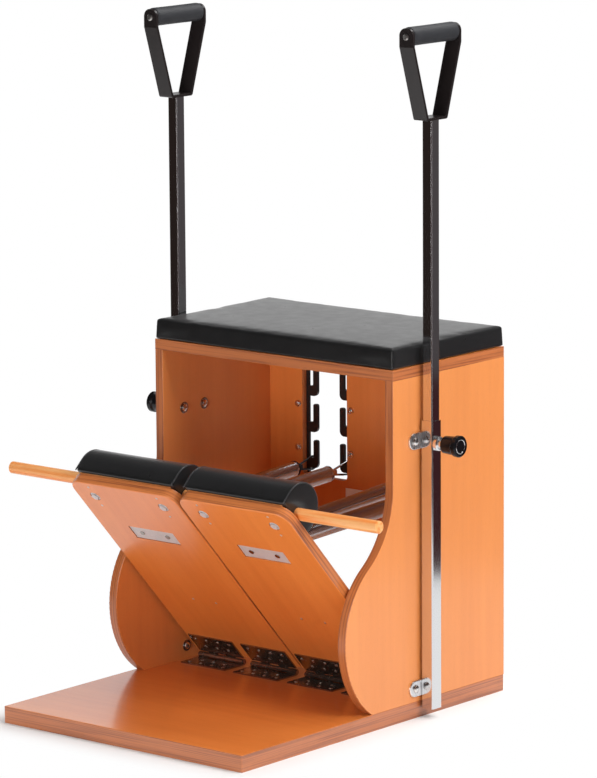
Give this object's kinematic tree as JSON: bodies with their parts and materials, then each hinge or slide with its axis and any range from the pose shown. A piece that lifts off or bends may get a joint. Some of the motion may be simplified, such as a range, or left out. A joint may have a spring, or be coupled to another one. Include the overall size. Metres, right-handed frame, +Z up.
{
  "type": "pilates chair",
  "caption": "Pilates chair: upholstered seat on a plywood box with sprung hinged pedals joined by a dowel, and sliding square poles with D-shaped handles.",
  "frame": {"origin": "centre of the base board's underside, on the floor", "axes": "+Z up, -Y to the front where the pedals point, +X to the sitter's left as they face the front"},
  "size_m": [0.85, 0.7417, 1.2265],
  "materials": {
    "varnished_ply": "satin varnished birch ply with layered edges",
    "beech": "pale smooth beech",
    "core_wood": "raw softwood, hidden",
    "black_vinyl": "black vinyl with a soft sheen",
    "chrome": "bright chrome",
    "zinc_steel": "bright zinc",
    "black_steel": "satin black paint",
    "dark_steel": "dark polished steel",
    "black_plastic": "black moulded plastic",
    "grey_foam": "dark grey foam"
  },
  "bodies": {
    "frame": {"base_board": "varnished_ply", "back_panel": "varnished_ply", "seat_board": "varnished_ply", "seat_cushion": "black_vinyl", "hook_plate_bolts": "zinc_steel", "bracket_bolts": "zinc_steel", "hinge_base_leaves": "dark_steel", "hinge_pins": "dark_steel", "left_side_panel": "varnished_ply", "left_sleeve": "chrome", "left_sleeve_brackets": "chrome", "left_clamp_boss": "chrome", "left_outer_hook_plate": "black_steel", "left_inner_hook_plate": "black_steel", "right_side_panel": "varnished_ply", "right_sleeve": "chrome", "right_sleeve_brackets": "chrome", "right_clamp_boss": "chrome", "right_outer_hook_plate": "black_steel", "right_inner_hook_plate": "black_steel"},
    "left_pedal": {"left_pedal_board": "varnished_ply", "left_pedal_pad": "black_vinyl", "left_pad_core": "core_wood", "left_lock_bolts": "zinc_steel", "left_anchor_plate": "zinc_steel", "left_spring_eyes": "zinc_steel", "left_pedal_leaves": "dark_steel"},
    "right_pedal": {"right_pedal_board": "varnished_ply", "right_pedal_pad": "black_vinyl", "right_pad_core": "core_wood", "right_lock_bolts": "zinc_steel", "right_anchor_plate": "zinc_steel", "right_spring_eyes": "zinc_steel", "right_pedal_leaves": "dark_steel"},
    "dowel": {"pedal_dowel": "beech"},
    "left_push_pole": {"left_pole": "chrome", "left_handle_strap": "black_steel", "left_grip": "grey_foam", "left_grip_rod": "zinc_steel"},
    "left_clamp": {"left_clamp_knob": "black_plastic", "left_clamp_stud": "zinc_steel"},
    "left_outer_swing": {"left_outer_spring": "chrome", "left_outer_spring_link": "chrome"},
    "left_outer_stretch": {"left_outer_spring_hook": "chrome"},
    "left_inner_swing": {"left_inner_spring": "chrome", "left_inner_spring_link": "chrome"},
    "left_inner_stretch": {"left_inner_spring_hook": "chrome"},
    "right_push_pole": {"right_pole": "chrome", "right_handle_strap": "black_steel", "right_grip": "grey_foam", "right_grip_rod": "zinc_steel"},
    "right_clamp": {"right_clamp_knob": "black_plastic", "right_clamp_stud": "zinc_steel"},
    "right_outer_swing": {"right_outer_spring": "chrome", "right_outer_spring_link": "chrome"},
    "right_outer_stretch": {"right_outer_spring_hook": "chrome"},
    "right_inner_swing": {"right_inner_spring": "chrome", "right_inner_spring_link": "chrome"},
    "right_inner_stretch": {"right_inner_spring_hook": "chrome"}
  },
  "joints": [
    {"name": "left_pedal_hinge", "type": "hinge", "parent": "frame", "child": "left_pedal", "pos_m": [-0.1265, 0.1245, 0.0363], "axis": [1, 0, 0], "range_deg": [0, 40], "stiffness_Nm_per_rad": 90, "springref_deg": -14.32},
    {"name": "right_pedal_hinge", "type": "hinge", "parent": "frame", "child": "right_pedal", "pos_m": [0.1265, 0.1245, 0.0363], "axis": [1, 0, 0], "range_deg": [0, 40], "stiffness_Nm_per_rad": 90, "springref_deg": -14.32},
    {"name": "dowel_slide", "type": "slide", "parent": "left_pedal", "child": "dowel", "axis": [-1, 0, 0], "range_m": [0, 0.44]},
    {"name": "left_outer_spring_swing", "type": "hinge", "parent": "frame", "child": "left_outer_swing", "pos_m": [-0.1685, 0.3625, 0.366], "axis": [1, 0, 0], "range_deg": [0, 18.6]},
    {"name": "left_outer_spring_stretch", "type": "slide", "parent": "left_outer_swing", "child": "left_outer_stretch", "axis": [0, -0.9986, -0.0537], "range_m": [0, 0.1951], "deforming": ["left_outer_spring"]},
    {"name": "left_inner_spring_swing", "type": "hinge", "parent": "frame", "child": "left_inner_swing", "pos_m": [-0.0845, 0.3625, 0.366], "axis": [1, 0, 0], "range_deg": [0, 18.6]},
    {"name": "left_inner_spring_stretch", "type": "slide", "parent": "left_inner_swing", "child": "left_inner_stretch", "axis": [0, -0.9986, -0.0537], "range_m": [0, 0.1951], "deforming": ["left_inner_spring"]},
    {"name": "right_outer_spring_swing", "type": "hinge", "parent": "frame", "child": "right_outer_swing", "pos_m": [0.1685, 0.3625, 0.366], "axis": [1, 0, 0], "range_deg": [0, 18.6]},
    {"name": "right_outer_spring_stretch", "type": "slide", "parent": "right_outer_swing", "child": "right_outer_stretch", "axis": [0, -0.9986, -0.0537], "range_m": [0, 0.1951], "deforming": ["right_outer_spring"]},
    {"name": "right_inner_spring_swing", "type": "hinge", "parent": "frame", "child": "right_inner_swing", "pos_m": [0.0845, 0.3625, 0.366], "axis": [1, 0, 0], "range_deg": [0, 18.6]},
    {"name": "right_inner_spring_stretch", "type": "slide", "parent": "right_inner_swing", "child": "right_inner_stretch", "axis": [0, -0.9986, -0.0537], "range_m": [0, 0.1951], "deforming": ["right_inner_spring"]},
    {"name": "left_pole_slide", "type": "slide", "parent": "frame", "child": "left_push_pole", "axis": [0, 0, 1], "range_m": [-0.16, 0.2]},
    {"name": "left_clamp_turn", "type": "hinge", "parent": "frame", "child": "left_clamp", "pos_m": [-0.325, 0.132, 0.494], "axis": [-1, 0, 0], "range_deg": [0, 270]},
    {"name": "right_pole_slide", "type": "slide", "parent": "frame", "child": "right_push_pole", "axis": [0, 0, 1], "range_m": [-0.16, 0.2]},
    {"name": "right_clamp_turn", "type": "hinge", "parent": "frame", "child": "right_clamp", "pos_m": [0.325, 0.132, 0.494], "axis": [1, 0, 0], "range_deg": [0, 270]}
  ],
  "couplings": [
    {"joint": "right_pedal_hinge", "follows": "left_pedal_hinge", "ratio": 1},
    {"joint": "left_outer_spring_swing", "follows": "left_pedal_hinge", "ratio": 0.463},
    {"joint": "left_outer_spring_stretch", "follows": "left_pedal_hinge", "m_per_rad": 0.2787},
    {"joint": "left_inner_spring_swing", "follows": "left_pedal_hinge", "ratio": 0.463},
    {"joint": "left_inner_spring_stretch", "follows": "left_pedal_hinge", "m_per_rad": 0.2787},
    {"joint": "right_outer_spring_swing", "follows": "left_pedal_hinge", "ratio": 0.463},
    {"joint": "right_outer_spring_stretch", "follows": "left_pedal_hinge", "m_per_rad": 0.2787},
    {"joint": "right_inner_spring_swing", "follows": "left_pedal_hinge", "ratio": 0.463},
    {"joint": "right_inner_spring_stretch", "follows": "left_pedal_hinge", "m_per_rad": 0.2787}
  ]
}
